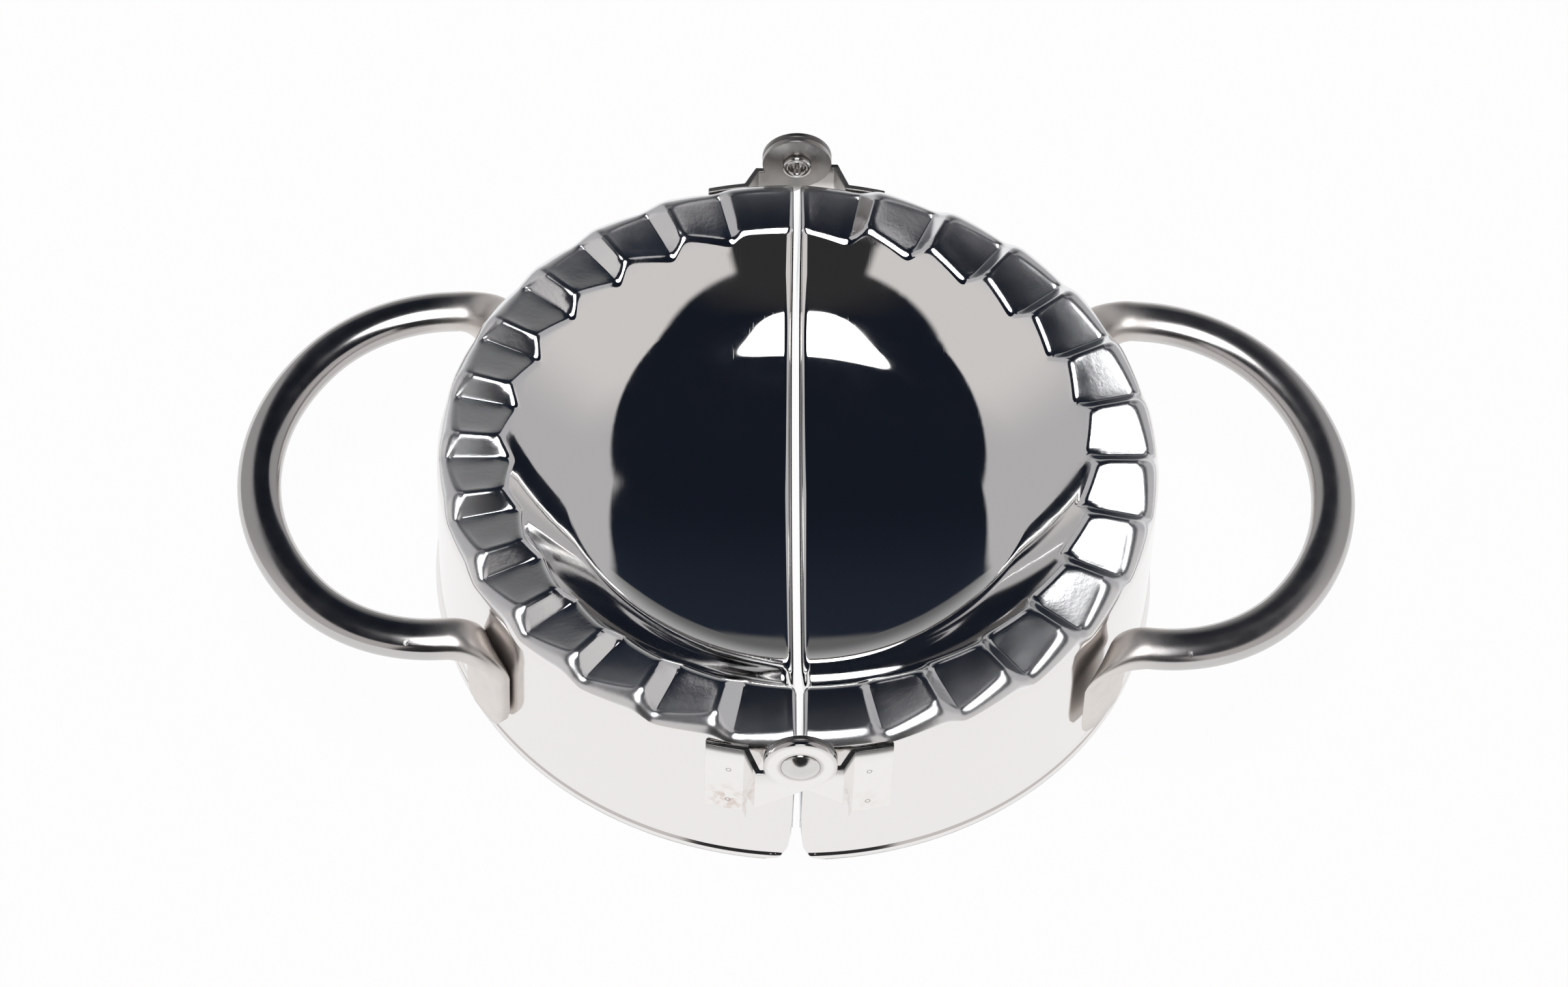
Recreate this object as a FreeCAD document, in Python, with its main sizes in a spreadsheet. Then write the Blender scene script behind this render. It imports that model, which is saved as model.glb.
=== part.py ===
import FreeCAD, Part
import math
import os
import Sketcher
from FreeCAD import Placement, Rotation, Vector

# Empanada press: two half-round pressed steel shells with toothed rims, joined by two
# riveted hinges on the seam, each shell with a bowed handle. The press lies open and flat.
# Origin: centre of the rim circle at the height of the skirts' lower edges.
# X runs from handle to handle, Y along the seam and the hinge line, Z up.

doc = FreeCAD.newDocument("EmpanadaPress")
UP = Vector(0, 0, 1)
AHEAD = Placement()
TURNED = Placement(Vector(), Rotation(UP, 180))

# Driving sizes in millimetres, angles in degrees
SIZES = (
    # toothed rim and skirt
    ("rim_radius", 47.5),
    ("valley_level", 24.1),
    ("tooth_height", 2.1),
    ("tooth_pitch", 13.0),
    ("full_teeth", 12),
    ("phase_shift", 1.3),
    ("facet_share", 0.24),
    ("end_tooth_share", 0.5),
    ("crest_round", 1.0),
    ("rim_round", 2.0),
    ("sheet", 0.8),
    ("skirt_lip", 0.25),
    ("skirt_lip_height", 0.5),
    # bowl: a nearly flat floor, a rounded corner and a leaning wall, each flowing on
    ("bowl_radius", 37.6),
    ("bowl_floor_round", 128.0),
    ("bowl_floor_tilt", 11.0),
    ("bowl_corner_round", 15.0),
    ("bowl_corner_tilt", 38.0),
    ("bowl_wall_round", 58.0),
    # seam between the halves
    ("seam_gap", 0.9),
    ("skirt_gap", 1.8),
    ("skirt_gap_start", 7.0),
    ("skirt_corner_round", 3.0),
    ("flange_level", 6.0),
    # how far cutting shapes reach past what they cut
    ("overrun", 4.0),
    ("overrun_angle", 4.0),
    # hinge leaves
    ("hinge_rise", 1.25),
    ("ear_radius", 4.7),
    ("leaf_sheet", 0.8),
    ("leaf_seat_gap", 0.02),
    ("ear_play", 0.05),
    ("hinge_side_gap", 2.3),
    ("pad_inner_edge", 6.6),
    ("pad_outer_edge", 12.0),
    ("pad_bottom", 10.8),
    ("pad_top_drop", 0.4),
    ("arm_bottom", 15.8),
    ("joggle_run", 1.5),
    # rivets
    ("rivet_radius", 1.6),
    ("rivet_play", 0.05),
    ("rivet_head_radius", 2.55),
    ("rivet_head_height", 1.2),
    ("rivet_collar_radius", 1.95),
    ("rivet_collar_height", 0.8),
    ("rivet_bore_radius", 1.15),
    ("rivet_bore_depth", 2.0),
    # handles
    ("handle_reach", 71.0),
    ("handle_half_width", 27.6),
    ("handle_end_radius", 30.4),
    ("handle_corner_radius", 22.4),
    ("handle_tube_width", 5.8),
    ("handle_tube_height", 4.0),
    ("handle_level", 17.65),
    ("handle_slope", 4.7),
    ("elbow_radius", 5.0),
    ("tab_width", 8.0),
    ("tab_thickness", 2.4),
    ("tab_bottom", 5.0),
    ("tab_seat_gap", 0.02),
)

# Flats round an oval section of a handle
OVAL_SIDES = 16
# Where a handle's elbow has its sections, as shares of the bend
ELBOW_SHARES = (0.25, 0.5, 0.75, 1)

sizes = doc.addObject("Spreadsheet::Sheet", "Sizes")
for row, (alias, amount) in enumerate(SIZES, start=1):
    sizes.set("A%d" % row, alias)
    sizes.set("B%d" % row, str(amount))
    sizes.setAlias("B%d" % row, alias)
places = doc.addObject("Spreadsheet::Sheet", "Places")
doc.recompute()


def expression(alias):
    """Where a sketch or feature finds a named size or place."""
    sheet = "Sizes" if sizes.getCellFromAlias(alias) else "Places"
    return "%s.%s" % (sheet, alias)


def number(alias):
    """The value of a named size or place."""
    sheet = sizes if sizes.getCellFromAlias(alias) else places
    return float(sheet.get(alias))


def follow(alias, formula):
    """Name a place that follows from other sizes: words in the formula are their names."""
    row = follow.rows + 1
    follow.rows = row
    text = " ".join(expression(word) if named(word) else word for word in formula.split())
    places.set("A%d" % row, alias)
    places.set("B%d" % row, "=" + text)
    places.setAlias("B%d" % row, alias)
    places.recompute()
    return alias


def named(word):
    """Whether a word of a formula is the name of a size or place."""
    return bool(sizes.getCellFromAlias(word) or places.getCellFromAlias(word))


follow.rows = 0

# Levels and radii of the shells
follow("crest_level", "valley_level + tooth_height")
follow("first_valley", "90 - tooth_pitch * full_teeth / 2 + phase_shift")
follow("facet_angle", "tooth_pitch * facet_share")
follow("hinge_level", "valley_level + hinge_rise")
follow("floor_more", "bowl_floor_round - bowl_corner_round")
follow("wall_more", "bowl_wall_round - bowl_corner_round")
follow("corner_centre", "floor_more * sin( bowl_floor_tilt )")
follow("wall_centre", "corner_centre - wall_more * sin( bowl_corner_tilt )")
follow("wall_rise", "sqrt( bowl_wall_round ^ 2 - ( bowl_radius - wall_centre ) ^ 2 )")
follow("wall_level", "valley_level + wall_rise")
follow("corner_level", "wall_level - wall_more * cos( bowl_corner_tilt )")
follow("bowl_bottom", "corner_level + floor_more * cos( bowl_floor_tilt ) - bowl_floor_round")


def sketch_on(body, name, role):
    """A sketch on one of the body's own origin planes."""
    sketch = body.newObject("Sketcher::SketchObject", name)
    plane = next(item for item in body.Origin.OriginFeatures if item.Role == role)
    sketch.AttachmentSupport = [(plane, "")]
    sketch.MapMode = "FlatFace"
    return sketch


def arc_between(start, end, radius, turn):
    """The arc of this radius from start to end, anticlockwise where turn is +1."""
    chord = end - start
    half = chord.Length / 2
    side = Vector(-chord.y, chord.x, 0).normalize() * turn
    centre = (start + end) / 2 + side * math.sqrt(max(radius ** 2 - half ** 2, 0))
    first, last = (start, end) if turn > 0 else (end, start)
    first_angle = math.atan2(first.y - centre.y, first.x - centre.x)
    last_angle = math.atan2(last.y - centre.y, last.x - centre.x)
    if last_angle < first_angle:
        last_angle += math.tau
    return Part.ArcOfCircle(Part.Circle(centre, UP, radius), first_angle, last_angle)


def bind(sketch, constraint, name, alias):
    """Add a dimension that takes its value from a named size or place."""
    index = sketch.addConstraint(constraint)
    sketch.renameConstraint(index, name)
    sketch.setExpression("Constraints." + name, expression(alias))


def outline(sketch, corners, arcs=None):
    """A closed outline through named corners; a missing name stands for zero.

    arcs gives, by the number of the corner where it starts, the named radius of an arc
    and its turn, +1 for anticlockwise.
    """
    arcs = arcs or {}
    spots = [Vector(number(x) if x else 0, number(y) if y else 0, 0) for x, y in corners]
    first_side = sketch.GeometryCount
    ends = []
    for index, start in enumerate(spots):
        end = spots[(index + 1) % len(spots)]
        if index in arcs:
            radius, turn = arcs[index]
            sketch.addGeometry(arc_between(start, end, number(radius), turn), False)
            ends.append((1, 2) if turn > 0 else (2, 1))
        else:
            sketch.addGeometry(Part.LineSegment(start, end), False)
            ends.append((1, 2))
    for index, (x, y) in enumerate(corners):
        side = first_side + index
        start = ends[index][0]
        before = (index - 1) % len(corners)
        sketch.addConstraint(
            Sketcher.Constraint("Coincident", first_side + before, ends[before][1], side, start)
        )
        place_point(sketch, side, start, "corner%d" % side, x, y)
    for index, (radius, turn) in arcs.items():
        side = first_side + index
        bind(
            sketch,
            Sketcher.Constraint("Radius", side, number(radius)),
            "radius%d" % side,
            radius,
        )


def place_point(sketch, side, end, name, x, y):
    """Hold a point at named coordinates, or on an axis where a name is missing."""
    if x:
        across = Sketcher.Constraint("DistanceX", -1, 1, side, end, number(x))
        bind(sketch, across, name + "x", x)
    else:
        sketch.addConstraint(Sketcher.Constraint("PointOnObject", side, end, -2))
    if y:
        along = Sketcher.Constraint("DistanceY", -1, 1, side, end, number(y))
        bind(sketch, along, name + "y", y)
    else:
        sketch.addConstraint(Sketcher.Constraint("PointOnObject", side, end, -1))


def hole(sketch, x, y, radius):
    """A round hole at named coordinates."""
    side = sketch.GeometryCount
    centre = Vector(number(x) if x else 0, number(y) if y else 0, 0)
    sketch.addGeometry(Part.Circle(centre, UP, number(radius)), False)
    place_point(sketch, side, 3, "hole%d" % side, x, y)
    bind(sketch, Sketcher.Constraint("Radius", side, number(radius)), "bore%d" % side, radius)


def turned_half(body, name, sketch):
    """Turn a profile on the YZ plane half round the Z axis, from +Y through -X to -Y."""
    solid = body.newObject("PartDesign::Revolution", name)
    solid.Profile = sketch
    solid.ReferenceAxis = (sketch, ["V_Axis"])
    solid.Angle = 180
    return solid


def section_plane(sketch, azimuth, distance):
    """Stand a sketch upright, square to the azimuth counted from +Y through -X."""
    turn, reach = expression(azimuth), expression(distance)
    sketch.AttachmentOffset = Placement(Vector(), Rotation(Vector(0, 1, 0), number(azimuth)))
    sketch.setExpression("AttachmentOffset.Rotation.Angle", turn)
    sketch.setExpression("AttachmentOffset.Base.x", "-%s * sin(%s)" % (reach, turn))
    sketch.setExpression("AttachmentOffset.Base.z", "-%s * cos(%s)" % (reach, turn))


def tooth_cut(body, prefix, name, level, azimuth, profile, rounds=()):
    """Cut what lies above radial ridges and creases that meet on the axis at this level.

    profile names, for each crease or ridge, its angle from the azimuth and its share of
    the tooth height. Heights grow with the radius, so each side of a tooth is a plane,
    and a rounded ridge is part of a cone. rounds holds the numbers of the sides that are
    arcs of the crest.
    """
    label = prefix + name
    sections = []
    for end, distance in (("outer", prefix + "far"), ("inner", prefix + "near")):
        corners = []
        for index, (angle, share) in enumerate(profile):
            stem = "%s_%s%d" % (label, end, index)
            follow(stem + "u", "0 - %s * tan( %s )" % (distance, angle))
            rise = "%s * tooth_height * %s / rim_radius / cos( %s )"
            follow(stem + "v", level + " + " + rise % (share, distance, angle))
            corners.append((stem + "u", stem + "v"))
        roof = prefix + "roof"
        corners = [(corners[0][0], roof)] + corners + [(corners[-1][0], roof)]
        sketch = sketch_on(body, "%s_%s" % (label, end), "XZ_Plane")
        section_plane(sketch, azimuth, distance)
        crest = follow("%s_%s_crest" % (label, end), "crest_round * %s / rim_radius" % distance)
        outline(sketch, corners, {side + 1: (crest, -1) for side in rounds})
        sections.append(sketch)
    cut = body.newObject("PartDesign::SubtractiveLoft", label)
    cut.Profile = sections[0]
    cut.Sections = [sections[1]]
    cut.Ruled = True
    return cut


def name_teeth():
    """Azimuths of the tooth cuts, counted from the rear end of the seam."""
    follow("cell_middle", "first_valley - facet_angle + tooth_pitch / 2")
    follow("cell_start", "0 - tooth_pitch / 2")
    follow("cell_valley", "0 - tooth_pitch / 2 + facet_angle")
    follow("cell_end", "tooth_pitch / 2")
    follow("last_valley", "first_valley + tooth_pitch * full_teeth")
    follow("last_middle", "last_valley - facet_angle + tooth_pitch / 2")
    follow("last_end", "180 - last_middle + overrun_angle")
    follow("last_run", "180 - last_valley")
    follow("last_share", "end_tooth_share * sin( last_run + overrun_angle ) / sin( last_run )")
    follow("first_middle", "first_valley / 2")
    follow("first_start", "0 - first_valley / 2 - overrun_angle")
    follow("first_end", "first_valley / 2")
    follow("none", "0 * tooth_height")
    follow("ramp_tilt", "atan( tooth_height / rim_radius / tan( tooth_pitch - facet_angle ) ) / 1deg")
    follow("facet_tilt", "atan( tooth_height / rim_radius / tan( facet_angle ) ) / 1deg")
    follow("crest_run", "crest_round * tan( ( ramp_tilt + facet_tilt ) / 2 )")
    follow("crest_depth", "crest_round / cos( ( ramp_tilt + facet_tilt ) / 2 )")
    follow("crest_lean", "( facet_tilt - ramp_tilt ) / 2")
    follow("crest_sag", "crest_depth * cos( crest_lean ) - sqrt( crest_round ^ 2 - ( crest_depth * sin( crest_lean ) ) ^ 2 )")
    follow("crest_share", "1 - crest_sag / tooth_height")
    follow("facet_top", "cell_start + atan( crest_run * cos( facet_tilt ) / rim_radius ) / 1deg")
    follow("facet_top_share", "1 - crest_run * sin( facet_tilt ) / tooth_height")
    follow("ramp_top", "cell_end - atan( crest_run * cos( ramp_tilt ) / rim_radius ) / 1deg")
    follow("ramp_top_share", "1 - crest_run * sin( ramp_tilt ) / tooth_height")


def cut_teeth(body, prefix, level):
    """The toothed top of a half: full teeth, a low one at each end of the seam."""
    follow(prefix + "far", "rim_radius + overrun")
    follow(prefix + "near", "bowl_radius - 2 * overrun")
    follow(prefix + "roof", "crest_level + overrun")
    crest_side = (("cell_start", "crest_share"), ("facet_top", "facet_top_share"))
    valley = (("cell_valley", "none"),)
    ramp_side = (("ramp_top", "ramp_top_share"), ("cell_end", "crest_share"))
    cell = crest_side + valley + ramp_side
    tooth = tooth_cut(body, prefix, "tooth", level, "cell_middle", cell, rounds=(0, 3))
    doc.recompute()
    pattern = body.newObject("PartDesign::PolarPattern", prefix + "teeth")
    pattern.Originals = [tooth]
    axis = next(item for item in body.Origin.OriginFeatures if item.Role == "Z_Axis")
    pattern.Axis = (axis, [""])
    pattern.setExpression("Occurrences", "Sizes.full_teeth")
    pattern.setExpression("Angle", "Sizes.tooth_pitch * (Sizes.full_teeth - 1)")
    body.Tip = pattern
    doc.recompute()
    last = crest_side + valley + (("last_end", "last_share"),)
    tooth_cut(body, prefix, "last", level, "last_middle", last, rounds=(0,))
    first = (("first_start", "end_tooth_share"), ("first_end", "end_tooth_share"))
    tooth_cut(body, prefix, "first", level, "first_middle", first)
    doc.recompute()


def seam_cut(body, prefix, corners, arcs=None):
    """Cut a half back from the seam, right through along Y."""
    sketch = sketch_on(body, prefix + "seam_profile", "XZ_Plane")
    outline(sketch, corners, arcs)
    pocket = body.newObject("PartDesign::Pocket", prefix + "seam")
    pocket.Profile = sketch
    pocket.Type = "ThroughAll"
    pocket.SideType = "Symmetric"
    doc.recompute()


def shell_top():
    """The upper form of a half, still solid underneath."""
    body = doc.addObject("PartDesign::Body", "ShellTop")
    sketch = sketch_on(body, "top_profile", "YZ_Plane")
    outline(
        sketch,
        [
            (None, None),
            ("lip_radius", None),
            ("lip_radius", "skirt_lip_height"),
            ("rim_radius", "lip_end"),
            ("rim_radius", "rim_side"),
            ("rim_flat", "crest_level"),
            ("bowl_mouth", "crest_level"),
            ("wall_edge", "wall_edge_level"),
            ("floor_edge", "floor_edge_level"),
            (None, "bowl_bottom"),
        ],
        {
            4: ("rim_round", 1),
            6: ("bowl_wall_round", -1),
            7: ("bowl_corner_round", -1),
            8: ("bowl_floor_round", -1),
        },
    )
    turned_half(body, "top_form", sketch)
    doc.recompute()
    cut_teeth(body, "top_", "valley_level")
    corners = [
        ("seam_side", "top_roof"),
        ("seam_side", "skirt_gap_start"),
        ("skirt_side", "skirt_corner_round"),
        ("skirt_corner", None),
        ("skirt_corner", "below"),
        ("overrun", "below"),
        ("overrun", "top_roof"),
    ]
    seam_cut(body, "top_", corners, {2: ("skirt_corner_round", 1)})
    return body


def shell_core():
    """The hollow under a half: the upper form moved in by the sheet, open below."""
    body = doc.addObject("PartDesign::Body", "ShellCore")
    sketch = sketch_on(body, "core_profile", "YZ_Plane")
    outline(
        sketch,
        [
            (None, "below"),
            ("core_radius", "below"),
            ("core_radius", "rim_side"),
            ("rim_flat", "core_crest"),
            ("core_mouth", "core_crest"),
            ("core_wall_edge", "core_wall_edge_level"),
            ("core_floor_edge", "core_floor_edge_level"),
            (None, "core_bottom"),
        ],
        {
            2: ("core_round", 1),
            4: ("core_wall_round", -1),
            5: ("core_corner_round", -1),
            6: ("core_floor_round", -1),
        },
    )
    turned_half(body, "core_form", sketch)
    doc.recompute()
    cut_teeth(body, "core_", "core_valley")
    corners = [
        ("core_side", "core_roof"),
        ("core_side", "flange_level"),
        ("overrun", "flange_level"),
        ("overrun", "core_roof"),
    ]
    seam_cut(body, "core_", corners)
    return body


def name_shell():
    """Levels and radii of the upper form and of the hollow under it."""
    follow("lip_radius", "rim_radius + skirt_lip")
    follow("lip_end", "skirt_lip_height + skirt_lip")
    follow("rim_side", "crest_level - rim_round")
    follow("rim_flat", "rim_radius - rim_round")
    mouth = "wall_centre + sqrt( %s ^ 2 - ( wall_level - %s ) ^ 2 )"
    follow("bowl_mouth", mouth % ("bowl_wall_round", "crest_level"))
    follow("floor_edge", "bowl_floor_round * sin( bowl_floor_tilt )")
    follow("floor_edge_level", "corner_level - bowl_corner_round * cos( bowl_floor_tilt )")
    follow("wall_edge", "corner_centre + bowl_corner_round * sin( bowl_corner_tilt )")
    follow("wall_edge_level", "corner_level - bowl_corner_round * cos( bowl_corner_tilt )")
    follow("seam_side", "0 - seam_gap / 2")
    follow("skirt_side", "0 - skirt_gap / 2")
    follow("skirt_corner", "0 - skirt_gap / 2 - skirt_corner_round")
    follow("below", "0 - overrun")
    follow("core_radius", "rim_radius - sheet")
    follow("core_round", "rim_round - sheet")
    follow("core_crest", "crest_level - sheet")
    follow("core_wall_round", "bowl_wall_round + sheet")
    follow("core_corner_round", "bowl_corner_round + sheet")
    follow("core_floor_round", "bowl_floor_round + sheet")
    follow("core_bottom", "bowl_bottom - sheet")
    follow("core_mouth", mouth % ("core_wall_round", "core_crest"))
    follow("core_floor_edge", "core_floor_round * sin( bowl_floor_tilt )")
    follow("core_floor_edge_level", "corner_level - core_corner_round * cos( bowl_floor_tilt )")
    follow("core_wall_edge", "corner_centre + core_corner_round * sin( bowl_corner_tilt )")
    follow("core_wall_edge_level", "corner_level - core_corner_round * cos( bowl_corner_tilt )")
    follow("core_valley", "valley_level - sheet / cos( ramp_tilt )")
    follow("core_side", "0 - seam_gap / 2 - sheet")


def pressing(kind, name, base, tool, placement):
    """A sub-part made from two forms; both halves use the same ones."""
    piece = doc.addObject(kind, name)
    piece.Base = base
    piece.Tool = tool
    piece.Label = name
    piece.Placement = placement
    return piece


def name_leaves():
    """Places on the hinge leaves."""
    follow("pad_top", "valley_level - pad_top_drop")
    follow("pad_left", "0 - pad_outer_edge")
    follow("pad_right", "0 - pad_inner_edge")
    follow("pad_back", "rim_radius + leaf_seat_gap")
    follow("pad_face", "pad_back + leaf_sheet")
    follow("ear_top", "hinge_level + ear_radius")
    follow("ear_corner", "0 - sqrt( ear_radius ^ 2 - ( hinge_level - pad_top ) ^ 2 )")
    follow("foot_drop", "hinge_level - arm_bottom")
    follow("foot_reach", "sqrt( pad_inner_edge ^ 2 + foot_drop ^ 2 )")
    turn = "( acos( ear_radius / foot_reach ) - atan( pad_inner_edge / foot_drop ) )"
    follow("under_x", "ear_radius * sin( %s )" % turn)
    follow("under_z", "hinge_level - ear_radius * cos( %s )" % turn)
    follow("rivet_hole", "rivet_radius + rivet_play")
    follow("leaf_end", "ear_radius + overrun")
    follow("inner_ear", "rim_radius + hinge_side_gap")
    follow("outer_ear", "inner_ear + leaf_sheet + ear_play")


def leaf_blank():
    """The leaf seen along the hinge line: pad, arm and the round ear with its hole."""
    body = doc.addObject("PartDesign::Body", "LeafBlank")
    sketch = sketch_on(body, "blank_profile", "XZ_Plane")
    corners = [
        ("pad_left", "pad_bottom"),
        ("pad_right", "pad_bottom"),
        ("pad_right", "arm_bottom"),
        ("under_x", "under_z"),
        (None, "ear_top"),
        ("ear_corner", "pad_top"),
        ("pad_left", "pad_top"),
    ]
    outline(sketch, corners, {3: ("ear_radius", 1), 4: ("ear_radius", 1)})
    hole(sketch, None, "hinge_level", "rivet_hole")
    slab = body.newObject("PartDesign::Pad", "blank_slab")
    slab.Profile = sketch
    slab.SideType = "Symmetric"
    slab.setExpression("Length", "2 * (Sizes.rim_radius + Sizes.ear_radius + Sizes.overrun)")
    doc.recompute()
    return body


def leaf_bend(prefix, ear, sign, turn):
    """The leaf seen from above: pad curved to the skirt, stepped out to the flat ear."""
    face = prefix + "face"
    follow(prefix + "step", ear + " - sqrt( pad_back ^ 2 - pad_inner_edge ^ 2 )")
    follow(prefix + "shift", "leaf_sheet * tan( atan( %sstep / joggle_run ) / 2 )" % prefix)
    follow(prefix + "joggle", "joggle_run - pad_inner_edge")
    follow(prefix + "bend", "joggle_run - pad_inner_edge - %sshift" % prefix)
    follow(prefix + "root", "0 - pad_inner_edge - %sshift" % prefix)
    arc = sign + " sqrt( %s ^ 2 - %s ^ 2 )"
    follow(prefix + "back_end", arc % ("pad_back", "pad_outer_edge"))
    follow(prefix + "back_root", arc % ("pad_back", "pad_inner_edge"))
    follow(prefix + "face_end", arc % ("pad_face", "pad_outer_edge"))
    follow(prefix + "face_root", arc % ("pad_face", prefix + "root"))
    follow(prefix + "back", sign + " " + ear)
    follow(face, "%s ( %s + leaf_sheet )" % (sign, ear))
    body = doc.addObject("PartDesign::Body", "LeafBend")
    sketch = sketch_on(body, prefix + "profile", "XY_Plane")
    corners = [
        ("pad_left", prefix + "back_end"),
        ("pad_right", prefix + "back_root"),
        (prefix + "joggle", prefix + "back"),
        ("leaf_end", prefix + "back"),
        ("leaf_end", face),
        (prefix + "bend", face),
        (prefix + "root", prefix + "face_root"),
        ("pad_left", prefix + "face_end"),
    ]
    outline(sketch, corners, {0: ("pad_back", -turn), 6: ("pad_face", turn)})
    slab = body.newObject("PartDesign::Pad", prefix + "slab")
    slab.Profile = sketch
    slab.setExpression("Length", "Places.ear_top + Sizes.overrun")
    doc.recompute()
    return body


def name_rivets():
    """Places along a rivet, counted out from the middle of the hinge line."""
    follow("head_base", "outer_ear + leaf_sheet + leaf_seat_gap")
    follow("head_top", "head_base + rivet_head_height")
    follow("head_curve", "( rivet_head_radius ^ 2 + rivet_head_height ^ 2 ) / ( 2 * rivet_head_height )")
    follow("collar_base", "inner_ear - ear_play")
    follow("collar_end", "collar_base - rivet_collar_height")
    follow("bore_end", "collar_end + rivet_bore_depth")


def rivet(name, outward):
    """A hinge rivet: domed head outside, hollow end rolled over inside."""
    body = doc.addObject("PartDesign::Body", name)
    sketch = sketch_on(body, name + "_profile", "XZ_Plane")
    corners = [
        (None, "head_top"),
        ("rivet_head_radius", "head_base"),
        ("rivet_radius", "head_base"),
        ("rivet_radius", "collar_base"),
        ("rivet_collar_radius", "collar_base"),
        ("rivet_collar_radius", "collar_end"),
        ("rivet_bore_radius", "collar_end"),
        ("rivet_bore_radius", "bore_end"),
        (None, "bore_end"),
    ]
    outline(sketch, corners, {0: ("head_curve", -1)})
    solid = body.newObject("PartDesign::Revolution", name + "_form")
    solid.Profile = sketch
    solid.ReferenceAxis = (sketch, ["V_Axis"])
    body.Label = name
    body.Placement = Placement(Vector(), outward)
    body.setExpression("Placement.Base.z", expression("hinge_level"))
    return body


def oval(centre, across, through, half_across, half_through):
    """An oval section about a centre, in short flats so that the tube stays light."""
    points = []
    for side in range(OVAL_SIDES + 1):
        angle = math.tau * side / OVAL_SIDES
        sideways = across * (half_across * math.cos(angle))
        points.append(centre + sideways + through * (half_through * math.sin(angle)))
    return Part.makePolygon(points)


def handle_shape():
    """A bowed tube whose two ends turn down and flatten into tabs against the skirt."""
    side = handle_side()
    bow = side.fuse(side.mirror(Vector(), Vector(0, 1, 0)))
    skirt = Part.makeCylinder(number("rim_radius") + number("tab_seat_gap"), number("crest_level"))
    return bow.cut(skirt)


def handle_side():
    """Half of a handle: half the end arc, a corner arc, and the elbow down to the tab."""
    half_across = number("handle_tube_width") / 2
    half_up = number("handle_tube_height") / 2
    tilt = Placement(
        Vector(number("handle_reach"), 0, number("handle_level")),
        Rotation(Vector(0, 1, 0), number("handle_slope")),
    )
    up = tilt.Rotation.multVec(UP)
    end_radius = number("handle_end_radius")
    corner_radius = number("handle_corner_radius")
    side_y = number("handle_half_width") - corner_radius
    side_x = math.sqrt((end_radius - corner_radius) ** 2 - side_y ** 2) - end_radius
    lean = math.atan2(side_y, side_x + end_radius)

    def bent(x, y, radius, start, turn):
        centre = tilt.multVec(Vector(x, y, 0))
        across = tilt.Rotation.multVec(Vector(math.cos(start), math.sin(start), 0))
        section = oval(centre + across * radius, across, up, half_across, half_up)
        return Part.Face(section).revolve(centre, up, math.degrees(turn))

    end = bent(-end_radius, 0, end_radius, 0, lean)
    corner = bent(side_x, side_y, corner_radius, lean, math.pi / 2 - lean)

    across = Vector(0, 1, 0)
    heading = tilt.Rotation.multVec(Vector(-1, 0, 0))
    last = tilt.multVec(Vector(side_x, number("handle_half_width"), 0))
    elbow = number("elbow_radius")
    tab_half = number("tab_thickness") / 2
    tab_half_width = number("tab_width") / 2
    tab_middle = number("rim_radius") + number("tab_seat_gap") + tab_half
    tab_x = math.sqrt(tab_middle ** 2 - last.y ** 2)
    tab_turn = math.atan2(last.y, tab_x)
    run = heading * ((last.x - tab_x - elbow) / -heading.x)
    straight = Part.Face(oval(last, across, up, half_across, half_up)).extrude(run)

    bend = last + run
    sections = [oval(bend, across, up, half_across, half_up)]
    for share in ELBOW_SHARES:
        drop = share * math.pi / 2
        turn = share * tab_turn
        ahead = Vector(-math.cos(drop), 0, -math.sin(drop))
        sideways = Vector(-math.sin(turn), math.cos(turn), 0)
        sideways = (sideways - ahead * sideways.dot(ahead)).normalize()
        centre = bend + Vector(-math.sin(drop), 0, math.cos(drop) - 1) * elbow
        wide = half_across + share * (tab_half_width - half_across)
        thick = half_up + share * (tab_half - half_up)
        sections.append(oval(centre, sideways, sideways.cross(ahead), wide, thick))
    knee = Part.makeLoft(sections, True, True)
    drop = Vector(0, 0, number("tab_bottom") - centre.z)
    tab = Part.Face(sections[-1]).extrude(drop)
    return end.fuse([corner, straight, knee, tab])


def handle(name, shape, placement):
    """A handle; both halves carry the same one."""
    piece = doc.addObject("Part::Feature", name)
    piece.Shape = shape
    piece.Label = name
    piece.Placement = placement
    return piece


name_teeth()
name_shell()
name_leaves()
name_rivets()
shell_forms = (shell_top(), shell_core())
blank = leaf_blank()
outer = leaf_bend("outer_", "outer_ear", "0 -", -1)
inner = leaf_bend("inner_", "inner_ear", "", 1)
bow = handle_shape()
pieces = [
    pressing("Part::Cut", "left_shell", *shell_forms, AHEAD),
    pressing("Part::Cut", "right_shell", *shell_forms, TURNED),
    handle("left_handle", bow, TURNED),
    handle("right_handle", bow, AHEAD),
    pressing("Part::Common", "front_left_hinge_leaf", outer, blank, AHEAD),
    pressing("Part::Common", "front_right_hinge_leaf", inner, blank, TURNED),
    pressing("Part::Common", "rear_left_hinge_leaf", inner, blank, AHEAD),
    pressing("Part::Common", "rear_right_hinge_leaf", outer, blank, TURNED),
    rivet("front_rivet", Rotation(Vector(1, 0, 0), 90)),
    rivet("rear_rivet", Rotation(Vector(1, 0, 0), -90)),
]
doc.recompute()

for item in doc.Objects:
    if "Invalid" in item.State or "Error" in item.State:
        raise RuntimeError("%s is in state %s" % (item.Name, item.State))
os.makedirs("parts", exist_ok=True)
for piece in pieces:
    if piece.Shape.isNull() or not piece.Shape.isValid():
        raise RuntimeError("%s has no valid shape" % piece.Label)
    piece.Shape.exportStep("parts/%s.step" % piece.Label)
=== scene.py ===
import bpy
import bmesh
import math
from bisect import bisect_right
from mathutils import Matrix, Vector


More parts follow.
